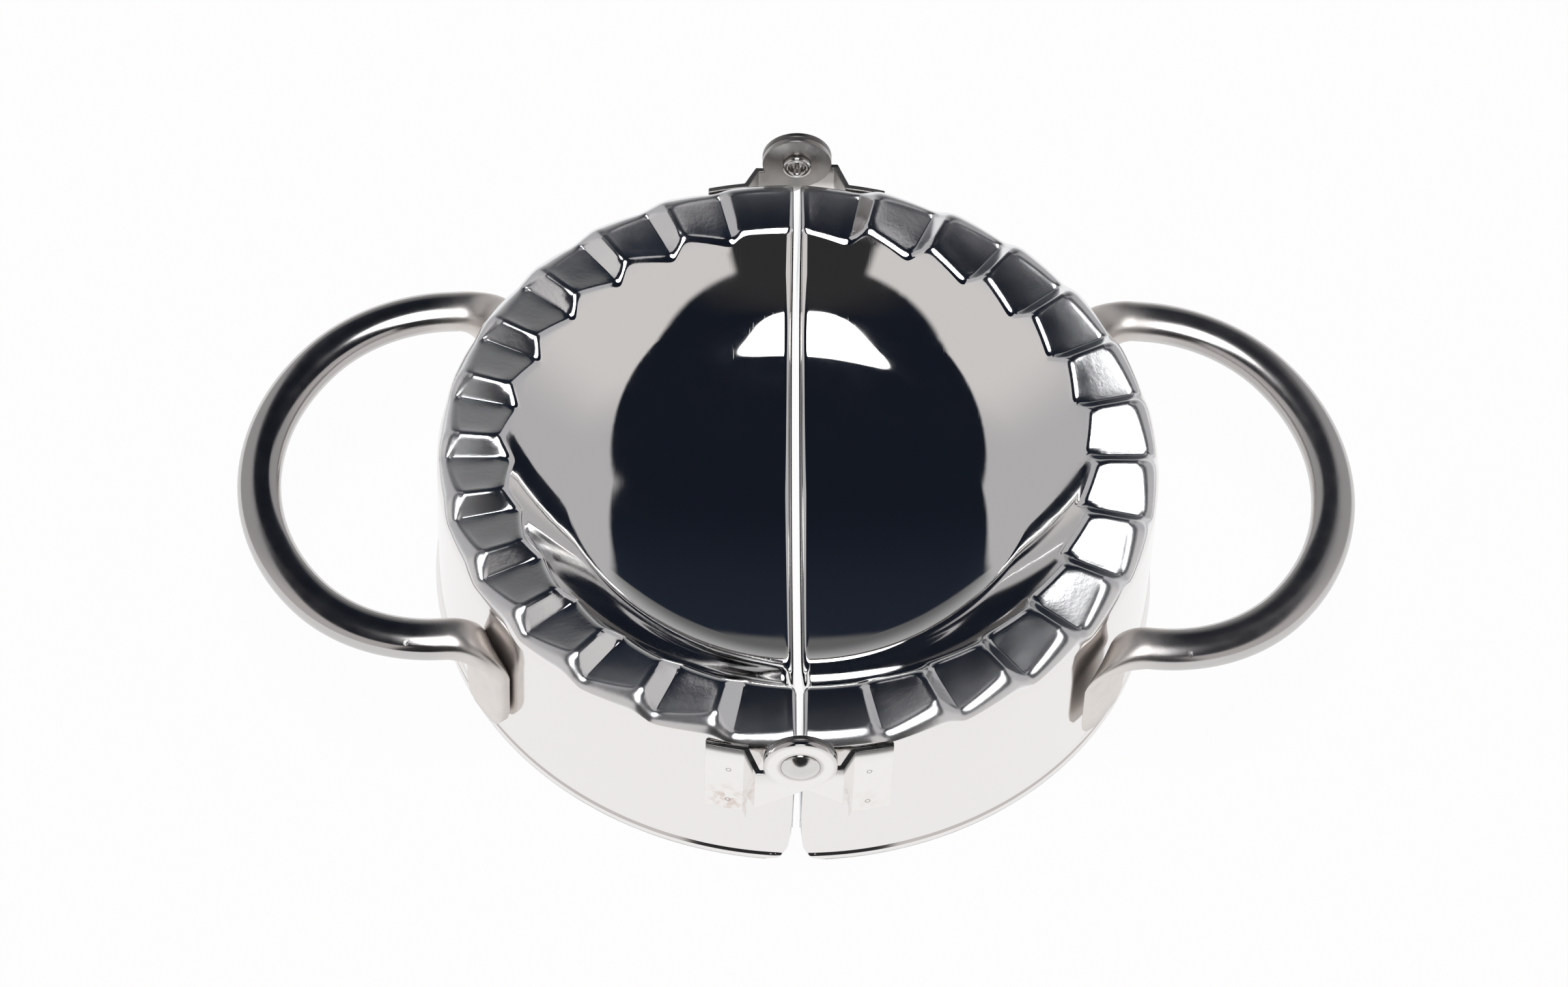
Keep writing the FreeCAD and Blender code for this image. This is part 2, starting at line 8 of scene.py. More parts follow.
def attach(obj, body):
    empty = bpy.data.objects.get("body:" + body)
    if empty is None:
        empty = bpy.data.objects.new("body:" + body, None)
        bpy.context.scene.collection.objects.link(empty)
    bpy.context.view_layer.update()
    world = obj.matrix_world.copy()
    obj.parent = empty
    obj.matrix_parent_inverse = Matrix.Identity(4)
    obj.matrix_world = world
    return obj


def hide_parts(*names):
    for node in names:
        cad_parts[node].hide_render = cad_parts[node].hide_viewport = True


# Empanada press lying open on a white table: mirror-polished shells, satin handles and
# riveted hinge leaves. The shapes are written in millimetres, which MM turns into the metres
# of the meshes. The materials measure places in metres.
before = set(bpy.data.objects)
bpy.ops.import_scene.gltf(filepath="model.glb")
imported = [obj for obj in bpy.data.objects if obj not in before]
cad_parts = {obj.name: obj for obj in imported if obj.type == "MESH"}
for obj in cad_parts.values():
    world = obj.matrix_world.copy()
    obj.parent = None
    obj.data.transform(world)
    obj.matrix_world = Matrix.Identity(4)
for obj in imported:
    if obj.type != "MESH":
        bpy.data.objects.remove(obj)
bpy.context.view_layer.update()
MM = 0.001

# Toothed rim. Azimuths run in degrees from 0 at one end of the seam to 180 at the other
RIM = 47.5  # outer radius
VALLEY = 24.1  # level of the valleys
TOOTH = 2.1  # how far a crest rises over the valleys at the rim
PITCH = 13.0  # azimuth from valley to valley
TEETH = 12
FIRST_VALLEY = 13.3
FACET = 3.12  # azimuth that a steep facet takes
END_SHARE = 0.5  # share of the tooth height at the seam
CREST_RUNS = (1.0, 0.45)  # azimuth that the rounding takes before and after its corner
VALLEY_RUNS = (0.12, 0.3)
END_RUNS = (0.6, 0.4)
DISH = 0.06  # depth of the hollow in a ramp
DISH_POWER = 4  # how flat the hollow's middle is

# Bowl: three arcs from the axis up to the mouth
BOWL_EDGE = 37.6  # radius at which the wall would reach the valleys
FLOOR_ROUND = 128.0
FLOOR_TILT = math.radians(11)
CORNER_ROUND = 15.0
CORNER_TILT = math.radians(38)
WALL_ROUND = 58.0
CORNER_CENTRE = (FLOOR_ROUND - CORNER_ROUND) * math.sin(FLOOR_TILT)
WALL_CENTRE = CORNER_CENTRE - (WALL_ROUND - CORNER_ROUND) * math.sin(CORNER_TILT)
WALL_LEVEL = VALLEY + math.sqrt(WALL_ROUND ** 2 - (BOWL_EDGE - WALL_CENTRE) ** 2)
CORNER_LEVEL = WALL_LEVEL - (WALL_ROUND - CORNER_ROUND) * math.cos(CORNER_TILT)
FLOOR_LEVEL = CORNER_LEVEL + (FLOOR_ROUND - CORNER_ROUND) * math.cos(FLOOR_TILT)

# Rounded edges
MOUTH_ROUND = 1.8  # between bowl and teeth
MOUTH_SPREAD = 1.7  # azimuth over which the mouth evens out the tooth line
RIM_ROUND = 1.6  # between teeth and skirt, at a valley
RIM_ROUND_CREST = 1.2  # what a crest adds to it
SEAM_ROUND = 1.1  # along the seam in the bowl
TOP_ROUND = 0.7  # where the mouth ends
EDGE_ROUND = 0.55  # at the rim and down the skirt
RAW_ROUND = 0.15  # at the sheared foot

# Sheet, seam and foot
SHEET = 0.8
SHEET_EASE = 0.03  # how much thinner the dressed sheet is than the solid
SEAM_SIDE = 0.45  # from the seam's plane to the shell
FLANGE = 6.0  # level at which the flange along the seam ends
GAP_START = 7.0  # the skirts part from this level
GAP_END = 3.0  # to this one, and turn round the foot's corner below it
FOOT_SIDE = 0.9
FOOT_CORNER = 3.0
SKIRT_LEVELS = (5.4, 4.6, 3.8, 3, 2.4, 1.9, 1.55)
LIP = 0.45  # how far the foot curls out
LIP_LINE = (  # radius past the rim, level, normal
    (0.03, 1.33, 0.97, 0.26),
    (0.12, 1.15, 0.86, 0.51),
    (0.27, 0.98, 0.76, 0.65),
    (0.4, 0.81, 0.86, 0.51),
    (LIP, 0.5, 1, 0),
    (LIP - 0.08, 0.0, 0.95, -0.3),
)

# How finely the shell is divided
RAMP_STEPS = 12
FACET_STEPS = 4
CREST_STEPS = 10
VALLEY_STEPS = 6
LAST_STEPS = 10
SPREAD_STEPS = 8
FLOOR_ROWS = 17
FLOOR_SPACING = 1.3
ARC_ROWS = 10
MOUTH_ROWS = 8
TOP_ROWS = 10
ROUND_ROWS = 8
SKIRT_ROWS = 8
SEAM_STEPS = 5
FLANGE_DROPS = 8
TOP_START = FLOOR_ROWS + 2 * ARC_ROWS + MOUTH_ROWS
TOP_END = TOP_START + TOP_ROWS
FLANGE_TOP = TOP_END + ROUND_ROWS
BLEND_ROWS = 2  # rows of the teeth that blend into the evened line
FIRST_ZONE = FIRST_VALLEY - 2  # azimuths from each end that make room for the seam's edge
LAST_ZONE = 10
ZONE_RADII = (9, 32)  # inside the first, all azimuths make room, and outside the second, the zones
WELD = 2e-6  # metres
TINY = 1e-6


def smooth(low, high, value):
    t = min(max((value - low) / (high - low), 0), 1)
    return t * t * (3 - 2 * t)


def eased(step, steps):
    """A share from 0 to 1 whose steps are short at both ends."""
    return (1 - math.cos(math.pi * step / steps)) / 2


def tooth_line():
    """Corners of the toothed line round a half: azimuth, share of the tooth height."""
    line = [(0, END_SHARE), (FIRST_VALLEY - FACET * END_SHARE, END_SHARE), (FIRST_VALLEY, 0)]
    for tooth in range(TEETH):
        valley = FIRST_VALLEY + PITCH * tooth
        line += [(valley + PITCH - FACET, 1), (valley + PITCH, 0)]
    return line + [(180, END_SHARE)]


def tooth_columns():
    """Azimuths with the rounded share there, and how far each lies across its ramp."""
    line = tooth_line()
    columns = [(0, END_SHARE, 0)]
    for before, here, after in zip(line, line[1:], line[2:]):
        crest = here[1] == 1
        first, last = CREST_RUNS if crest else (VALLEY_RUNS if here[1] == 0 else END_RUNS)
        into = (here[1] - before[1]) / (here[0] - before[0])
        out = (after[1] - here[1]) / (after[0] - here[0])
        start = columns[-1][0]
        end = here[0] - first
        ramp = end - start > FACET
        steps = RAMP_STEPS if ramp else FACET_STEPS
        for step in range(1, steps + 1):
            t = eased(step, steps)
            azimuth = start + (end - start) * t
            across = t if ramp and t < 1 else 0
            columns.append((azimuth, here[1] - into * (here[0] - azimuth), across))
        turns = CREST_STEPS if crest else VALLEY_STEPS
        for step in range(1, turns + 1):
            t = step / turns
            azimuth = here[0] - first * (1 - t) ** 2 + last * t ** 2
            share = here[1] - into * first * (1 - t) ** 2 + out * last * t ** 2
            columns.append((azimuth, share, 0))
    start = columns[-1]
    for step in range(1, LAST_STEPS + 1):
        t = step / LAST_STEPS
        azimuth = start[0] + (180 - start[0]) * t
        columns.append((azimuth, start[1] + (END_SHARE - start[1]) * t, t if t < 1 else 0))
    return columns


def mouth_shares(columns):
    """The share at each column averaged over its neighbours, for the rounder mouth."""
    places = [column[0] for column in columns]
    full = SPREAD_STEPS + 1
    shares = []
    for azimuth in places:
        total = 0
        for step in range(-SPREAD_STEPS, full):
            place = min(max(azimuth + MOUTH_SPREAD * step / SPREAD_STEPS, 0), 180)
            after = min(bisect_right(places, place), len(places) - 1)
            low, high = columns[after - 1], columns[after]
            t = (place - low[0]) / (high[0] - low[0])
            total += (low[1] + (high[1] - low[1]) * t) * (full - abs(step)) / full ** 2
        shares.append(total)
    return shares


def mouth_centre(slope, lean):
    """Centre of the mouth's rounding, which touches the wall's arc and the ramp."""
    low = VALLEY - MOUTH_ROUND * lean - WALL_LEVEL
    reach = WALL_ROUND + MOUTH_ROUND
    a = 1 + slope ** 2
    b = 2 * (slope * low - WALL_CENTRE)
    c = WALL_CENTRE ** 2 + low ** 2 - reach ** 2
    mouth_r = (-b + math.sqrt(b * b - 4 * a * c)) / (2 * a)
    return mouth_r, VALLEY + slope * mouth_r - MOUTH_ROUND * lean


def section(share):
    """The shell's upper line from the seam to the foot: radius, level, normal, seam round."""
    slope = TOOTH * share / RIM
    lean = math.sqrt(1 + slope ** 2)
    mouth_r, mouth_z = mouth_centre(slope, lean)
    last_tilt = math.atan2(mouth_r - WALL_CENTRE, WALL_LEVEL - mouth_z)
    rows = []
    start = SEAM_SIDE + SEAM_ROUND
    floor_end = FLOOR_ROUND * math.sin(FLOOR_TILT)
    for step in range(FLOOR_ROWS):
        r = start + (floor_end - start) * (step / (FLOOR_ROWS - 1)) ** FLOOR_SPACING
        tilt = math.asin(r / FLOOR_ROUND)
        z = FLOOR_LEVEL - FLOOR_ROUND * math.cos(tilt)
        nr, nz = (-math.sin(tilt), math.cos(tilt)) if step else (0, 1)
        rows.append((r, z, nr, nz, SEAM_ROUND))
    arcs = (
        (CORNER_CENTRE, CORNER_LEVEL, CORNER_ROUND, FLOOR_TILT, CORNER_TILT),
        (WALL_CENTRE, WALL_LEVEL, WALL_ROUND, CORNER_TILT, last_tilt),
    )
    for centre, level, radius, first, last in arcs:
        for step in range(1, ARC_ROWS + 1):
            tilt = first + (last - first) * step / ARC_ROWS
            r = centre + radius * math.sin(tilt)
            z = level - radius * math.cos(tilt)
            rows.append((r, z, -math.sin(tilt), math.cos(tilt), SEAM_ROUND))
    top = math.atan2(1, -slope)
    side = math.atan2(math.cos(last_tilt), -math.sin(last_tilt))
    for step in range(1, MOUTH_ROWS + 1):
        angle = side + (top - side) * step / MOUTH_ROWS
        nr, nz = math.cos(angle), math.sin(angle)
        fade = SEAM_ROUND + (TOP_ROUND - SEAM_ROUND) * step / MOUTH_ROWS
        rows.append((mouth_r + MOUTH_ROUND * nr, mouth_z + MOUTH_ROUND * nz, nr, nz, fade))
    round_r = RIM_ROUND + RIM_ROUND_CREST * share
    rim_r = RIM - round_r
    rim_z = VALLEY + slope * rim_r - round_r * lean
    first_r = rows[-1][0]
    last_r = rim_r - slope / lean * round_r
    for step in range(1, TOP_ROWS + 1):
        t = eased(step, TOP_ROWS)
        r = first_r + (last_r - first_r) * t
        fade = TOP_ROUND + (EDGE_ROUND - TOP_ROUND) * t
        rows.append((r, VALLEY + slope * r, -slope / lean, 1 / lean, fade))
    for step in range(1, ROUND_ROWS + 1):
        angle = top * (1 - step / ROUND_ROWS)
        nr, nz = math.cos(angle), math.sin(angle)
        rows.append((rim_r + round_r * nr, rim_z + round_r * nz, nr, nz, EDGE_ROUND))
    for step in range(1, SKIRT_ROWS + 1):
        rows.append((RIM, rim_z + (FLANGE - rim_z) * step / SKIRT_ROWS, 1, 0, EDGE_ROUND))
    rows += [(RIM, z, 1, 0, RAW_ROUND) for z in SKIRT_LEVELS]
    return rows + [(RIM + past, z, nr, nz, RAW_ROUND) for past, z, nr, nz in LIP_LINE]


def seam_limit(z):
    """How far from the seam's plane the shell stops at a level."""
    if z >= GAP_START:
        return SEAM_SIDE
    if z >= GAP_END:
        return SEAM_SIDE + (FOOT_SIDE - SEAM_SIDE) * (GAP_START - z) / (GAP_START - GAP_END)
    return FOOT_SIDE + FOOT_CORNER - math.sqrt(FOOT_CORNER ** 2 - (GAP_END - z) ** 2)


def near_seam(azimuth, r, z, edge):
    """Where a column stands at a radius, so that the first meets the seam's rounded edge."""
    limit = math.degrees(math.asin(min((seam_limit(z) + edge) / r, 1)))
    whole = limit + azimuth * (180 - 2 * limit) / 180
    if r < ZONE_RADII[0]:
        return whole
    if azimuth < FIRST_ZONE:
        ends = limit + azimuth * (FIRST_ZONE - limit) / FIRST_ZONE
    elif azimuth > 180 - LAST_ZONE:
        ends = 180 - limit - (180 - azimuth) * (LAST_ZONE - limit) / LAST_ZONE
    else:
        ends = azimuth
    return whole + (ends - whole) * smooth(*ZONE_RADII, r)


def shell_grid(vert):
    """Columns of vertices from one end of the seam round to the other."""
    columns = tooth_columns()
    grid = []
    for (azimuth, share, across), softer in zip(columns, mouth_shares(columns)):
        line = []
        soft_rows = section(softer)
        for index, (r, z, _, _, edge) in enumerate(section(share)):
            weight = max(
                smooth(TOP_START + BLEND_ROWS, TOP_START, index),
                smooth(TOP_END - BLEND_ROWS, TOP_END, index),
            )
            r += (soft_rows[index][0] - r) * weight
            z += (soft_rows[index][1] - z) * weight
            if across and TOP_START <= index < TOP_END:
                along = -math.cos(math.pi * (index - TOP_START) / TOP_ROWS)
                hollow = (1 - (2 * across - 1) ** DISH_POWER) * (1 - along ** DISH_POWER)
                z -= DISH * hollow
            phi = math.radians(near_seam(azimuth, r, z, edge))
            line.append(vert(-r * math.sin(phi), r * math.cos(phi), z))
        grid.append(line)
    return grid


def seam_strip(vert, line, side):
    """The rounded edge along one end of the seam, starting from the grid's last column."""
    strip = [line]
    for step in range(1, SEAM_STEPS + 1):
        turn = math.pi / 2 * step / SEAM_STEPS
        ring = []
        for r, z, nr, nz, edge in section(END_SHARE):
            limit = seam_limit(z)
            sunk = edge * (1 - math.cos(turn))
            y = math.sqrt(max(r * r - (limit + edge) ** 2, 0)) - sunk * nr
            ring.append(vert(-limit - edge + edge * math.sin(turn), side * y, z - sunk * nz))
        strip.append(ring)
    return strip


def shell_mesh(name, turned):
    """A half: bowl, teeth, rim, skirt and the flange along the seam, one smooth sheet."""
    bm = bmesh.new()
    sign = -1 if turned else 1

    def vert(x, y, z):
        return bm.verts.new((sign * x * MM, sign * y * MM, z * MM))

    def face(quad, side):
        bm.faces.new(quad if side > 0 else quad[::-1])

    grid = shell_grid(vert)
    for left, right in zip(grid, grid[1:]):
        for index in range(len(left) - 1):
            face((left[index], left[index + 1], right[index + 1], right[index]), 1)
    for side, line in ((1, grid[0]), (-1, grid[-1])):
        strip = seam_strip(vert, line, side)
        for left, right in zip(strip, strip[1:]):
            for index in range(len(left) - 1):
                face((left[index], right[index], right[index + 1], left[index + 1]), side)
        top = strip[-1][:FLANGE_TOP]
        wall = [top]
        for drop in range(1, FLANGE_DROPS + 1):
            row = []
            for v in top:
                z = v.co.z + (FLANGE * MM - v.co.z) * drop / FLANGE_DROPS
                row.append(bm.verts.new((v.co.x, v.co.y, z)))
            wall.append(row)
        for upper, lower in zip(wall, wall[1:]):
            for index in range(len(top) - 1):
                face((upper[index], lower[index], lower[index + 1], upper[index + 1]), side)
    bmesh.ops.remove_doubles(bm, verts=bm.verts, dist=WELD)
    bmesh.ops.dissolve_degenerate(bm, dist=TINY, edges=bm.edges)
    bm.normal_update()
    piece = add_mesh(name, bm)
    thick = piece.modifiers.new("sheet", "SOLIDIFY")
    thick.thickness = (SHEET - SHEET_EASE) * MM
    thick.offset = -1
    thick.use_even_offset = False
    return piece


def add_mesh(name, bm):
    """A smooth object made of the mesh, which is freed."""
    mesh = bpy.data.meshes.new(name)
    bm.to_mesh(mesh)
    bm.free()
    for polygon in mesh.polygons:
        polygon.use_smooth = True
    piece = bpy.data.objects.new(name, mesh)
    bpy.context.collection.objects.link(piece)
    return piece


# Handles
REACH = 71.0  # from the seam to the middle of the bow
HALF_WIDTH = 27.6
END_ROUND = 30.4  # radius of the bow's outer end
BEND_ROUND = 22.4  # radius of its two bends
TUBE = (5.8, 4.0)  # width and thickness
LEVEL = 17.65  # of the bow's outer end
SLOPE = math.radians(4.7)
ELBOW = 5.0
TAB = (8.0, 2.4)  # width and thickness
TAB_BOTTOM = 5.0
TAB_SEAT = RIM + 0.02  # radius of the tabs' inner sides
END_STEPS = 16
BEND_STEPS = 22
STRAIGHT_STEPS = 4
ELBOW_STEPS = 12
TAB_STEPS = 8
TUBE_SIDES = 32
TUBE_POWER = 2.35  # of the rounded section, where 2 is an oval
TAB_POWER = 2.0  # added where the tube is flat
WIDEN = (0.15, 1)  # shares of the elbow over which the tube grows wider
FLATTEN = (0.05, 0.95)
TAB_ENDS = ((0.72, 0.8), (0.9, 0.97), (0.98, 1.0))  # width and thickness of the last rings


def handle_half():
    """Centre, two directions and flatness of the tube's sections, on the side of positive Y."""
    tilt = Matrix.Translation((REACH, 0, LEVEL)) @ Matrix.Rotation(SLOPE, 4, "Y")
    turn = tilt.to_3x3()
    up = turn @ Vector((0, 0, 1))
    side_y = HALF_WIDTH - BEND_ROUND
    side_x = math.sqrt((END_ROUND - BEND_ROUND) ** 2 - side_y ** 2) - END_ROUND
    lean = math.atan2(side_y, side_x + END_ROUND)
    rings = []

    def bend(x, y, radius, start, end, steps):
        for step in range(steps):
            angle = start + (end - start) * step / steps
            across = turn @ Vector((math.cos(angle), math.sin(angle), 0))
            centre = tilt @ Vector((x, y, 0)) + across * radius
            rings.append((centre, across, up, 0.0))

    bend(-END_ROUND, 0, END_ROUND, 0, lean, END_STEPS)
    bend(side_x, side_y, BEND_ROUND, lean, math.pi / 2, BEND_STEPS)
    heading = turn @ Vector((-1, 0, 0))
    last = tilt @ Vector((side_x, HALF_WIDTH, 0))
    middle = TAB_SEAT + TAB[1] / 2
    tab_x = math.sqrt(middle ** 2 - last.y ** 2)
    tab_turn = math.atan2(last.y, tab_x)
    run = heading * ((last.x - tab_x - ELBOW) / -heading.x)
    for step in range(STRAIGHT_STEPS):
        rings.append((last + run * step / STRAIGHT_STEPS, Vector((0, 1, 0)), up, 0.0))
    knee = last + run
    for step in range(ELBOW_STEPS + 1):
        share = step / ELBOW_STEPS
        drop = share * math.pi / 2
        ahead = Vector((-math.cos(drop), 0, -math.sin(drop)))
        sideways = Vector((-math.sin(share * tab_turn), math.cos(share * tab_turn), 0))
        sideways = (sideways - ahead * sideways.dot(ahead)).normalized()
        centre = knee + Vector((-math.sin(drop), 0, math.cos(drop) - 1)) * ELBOW
        rings.append((centre, sideways, sideways.cross(ahead), share))
    centre, sideways, through, _ = rings[-1]
    for step in range(1, TAB_STEPS + 1):
        z = centre.z + (TAB_BOTTOM - centre.z) * step / TAB_STEPS
        rings.append((Vector((centre.x, centre.y, z)), sideways, through, 1.0))
    return rings


def handle_mesh(name, turned):
    """The bowed tube with its flattened tabs, swept in rounded sections."""
    half = handle_half()
    other = [
        (Vector((c.x, -c.y, c.z)), Vector((a.x, -a.y, a.z)), t, s)
        for c, a, t, s in reversed(half[1:])
    ]
    rings = other + half
    bm = bmesh.new()
    flip = Matrix.Rotation(math.pi if turned else 0, 4, "Z")
    loops = []
    for index, (centre, across, through, flat) in enumerate(rings):
        wide = (TUBE[0] + (TAB[0] - TUBE[0]) * smooth(*WIDEN, flat)) / 2
        thick = (TUBE[1] + (TAB[1] - TUBE[1]) * smooth(*FLATTEN, flat)) / 2
        power = 2 / (TUBE_POWER + TAB_POWER * flat)
        end = min(index, len(rings) - 1 - index)
        if end < len(TAB_ENDS):
            wide *= TAB_ENDS[end][0]
            thick *= TAB_ENDS[end][1]
        loop = []
        for side in range(TUBE_SIDES):
            angle = math.tau * side / TUBE_SIDES
            c, s = math.cos(angle), math.sin(angle)
            u = math.copysign(abs(c) ** power, c) * wide
            v = math.copysign(abs(s) ** power, s) * thick
            point = flip @ (centre + across * u + through * v)
            loop.append(bm.verts.new(point * MM))
        loops.append(loop)
    for first, second in zip(loops, loops[1:]):
        for side in range(TUBE_SIDES):
            after = (side + 1) % TUBE_SIDES
            bm.faces.new((first[side], first[after], second[after], second[side]))
    bm.faces.new(loops[0][::-1])
    bm.faces.new(loops[-1])
    bmesh.ops.recalc_face_normals(bm, faces=bm.faces)
    return add_mesh(name, bm)


# Hinge rivets and leaves
HINGE = 25.35  # level of the hinge line
RIVET_SIDES = 48
RIVET_LINE = (  # radius, distance along the hinge line from the press's middle
    (0, 52.66), (0.4, 52.62), (0.8, 52.52), (1.2, 52.35), (1.6, 52.13), (2.0, 51.87), (2.35, 51.64),
    (2.54, 51.53), (2.5, 51.475), (1.6, 51.475), (1.6, 49.72), (1.88, 49.7), (1.95, 49.55),
    (1.95, 49.2), (1.86, 49.02), (1.66, 48.94), (1.4, 48.96), (1.22, 49.1), (1.16, 49.4),
    (1.15, 50.7), (0.9, 50.92), (0, 50.94),
)
LEAF_EASE = 0.14
LEAF_EASE_STEPS = 3
LEAF_FLAT = math.radians(0.6)  # faces that turn less than this are joined
LEAF_CORNER = math.radians(35)  # edges that turn more than this are eased
LEAF_WEIGHT = 60


def rivet_mesh(name, side):
    """A rivet turned from its line: domed head outside, rolled hollow end inside."""
    bm = bmesh.new()
    loops = []
    for radius, reach in RIVET_LINE:
        loop = []
        for step in range(1 if radius == 0 else RIVET_SIDES):
            angle = math.tau * step / RIVET_SIDES
            x, z = radius * math.cos(angle), radius * math.sin(angle)
            loop.append(bm.verts.new((x * MM, side * reach * MM, (HINGE + z) * MM)))
        loops.append(loop)
    for first, second in zip(loops, loops[1:]):
        for step in range(RIVET_SIDES):
            after = (step + 1) % RIVET_SIDES
            if len(first) == 1:
                bm.faces.new((first[0], second[step], second[after]))
            elif len(second) == 1:
                bm.faces.new((first[step], second[0], first[after]))
            else:
                bm.faces.new((first[step], second[step], second[after], first[after]))
    bmesh.ops.recalc_face_normals(bm, faces=bm.faces)
    return add_mesh(name, bm)


def leaf_mesh(name, node_name):
    """The CAD leaf with its sheared edges eased."""
    bm = bmesh.new()
    bm.from_mesh(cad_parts[node_name].data)
    bmesh.ops.remove_doubles(bm, verts=bm.verts, dist=TINY)
    bmesh.ops.dissolve_limit(bm, angle_limit=LEAF_FLAT, verts=bm.verts, edges=bm.edges)
    piece = add_mesh(name, bm)
    ease = piece.modifiers.new("eased", "BEVEL")
    ease.width = LEAF_EASE * MM
    ease.segments = LEAF_EASE_STEPS
    ease.limit_method = "ANGLE"
    ease.angle_limit = LEAF_CORNER
    ease.harden_normals = False
    flat = piece.modifiers.new("flat", "WEIGHTED_NORMAL")
    flat.weight = LEAF_WEIGHT
    return piece


# Material nodes
def tree_of(owner):
    owner.use_nodes = True
    owner.node_tree.nodes.clear()
    return owner.node_tree


def node(tree, kind, **values):
    item = tree.nodes.new(kind)
    for key, value in values.items():
        setattr(item, key, value)
    return item


def feed(tree, socket, value):
    """A socket takes a number or a link."""
    if isinstance(value, (int, float)):
        socket.default_value = value
    else:
        tree.links.new(value, socket)


def calc(tree, operation, a, b=None, clamp=False):
    item = node(tree, "ShaderNodeMath", operation=operation, use_clamp=clamp)
    feed(tree, item.inputs[0], a)
    if b is not None:
        feed(tree, item.inputs[1], b)
    return item.outputs[0]


def plus(tree, a, b, clamp=False):
    return calc(tree, "ADD", a, b, clamp)


def minus(tree, a, b, clamp=False):
    return calc(tree, "SUBTRACT", a, b, clamp)


def times(tree, a, b):
    return calc(tree, "MULTIPLY", a, b)


def larger(tree, a, b):
    return calc(tree, "MAXIMUM", a, b)


def absolute(tree, a):
    return calc(tree, "ABSOLUTE", a)


def length_of(tree, a, b):
    return calc(tree, "SQRT", plus(tree, times(tree, a, a), times(tree, b, b)))


def split(tree, vector):
    parts = node(tree, "ShaderNodeSeparateXYZ")
    tree.links.new(vector, parts.inputs[0])
    return parts.outputs


def combine(tree, x, y, z):
    item = node(tree, "ShaderNodeCombineXYZ")
    for socket, value in zip(item.inputs, (x, y, z)):
        feed(tree, socket, value)
    return item.outputs[0]


def distance(tree, place, point):
    item = node(tree, "ShaderNodeVectorMath", operation="DISTANCE")
    tree.links.new(place, item.inputs[0])
    item.inputs[1].default_value = point
    return item.outputs["Value"]


def noise(tree, vector, scale, detail=2.0, rough=0.5):
    item = node(tree, "ShaderNodeTexNoise")
    item.inputs["Scale"].default_value = scale
    item.inputs["Detail"].default_value = detail
    item.inputs["Roughness"].default_value = rough
    tree.links.new(vector, item.inputs["Vector"])
    return item.outputs["Fac"]


def remap(tree, value, low, high, to_low, to_high):
    item = node(tree, "ShaderNodeMapRange", interpolation_type="SMOOTHSTEP")
    numbers = {"From Min": low, "From Max": high, "To Min": to_low, "To Max": to_high}
    for key, number in numbers.items():
        item.inputs[key].default_value = number
    tree.links.new(value, item.inputs["Value"])
    return item.outputs["Result"]


def mask(tree, value, out, full):
    """0 at and past one value, 1 at and past the other."""
    if out < full:
        return remap(tree, value, out, full, 0, 1)
    return remap(tree, value, full, out, 1, 0)


def bump(tree, height, depth, normal=None):
    item = node(tree, "ShaderNodeBump")
    item.inputs["Strength"].default_value = 1.0
    item.inputs["Distance"].default_value = depth
    tree.links.new(height, item.inputs["Height"])
    if normal:
        tree.links.new(normal, item.inputs["Normal"])
    return item.outputs["Normal"]


def mix_colour(tree, factor, first, second):
    item = node(tree, "ShaderNodeMix", data_type="RGBA")
    tree.links.new(factor, item.inputs["Factor"])
    for socket, value in zip((item.inputs[6], item.inputs[7]), (first, second)):
        if isinstance(value, tuple):
            socket.default_value = value + (1.0,)
        else:
            tree.links.new(value, socket)
    return item.outputs[2]


def metal(name):
    material = bpy.data.materials.new(name)
    tree = tree_of(material)
    shader = node(tree, "ShaderNodeBsdfPrincipled")
    shader.inputs["Metallic"].default_value = 1.0
    output = node(tree, "ShaderNodeOutputMaterial")
    tree.links.new(shader.outputs[0], output.inputs[0])
    place = node(tree, "ShaderNodeTexCoord").outputs["Object"]
    return material, tree, shader.inputs, place


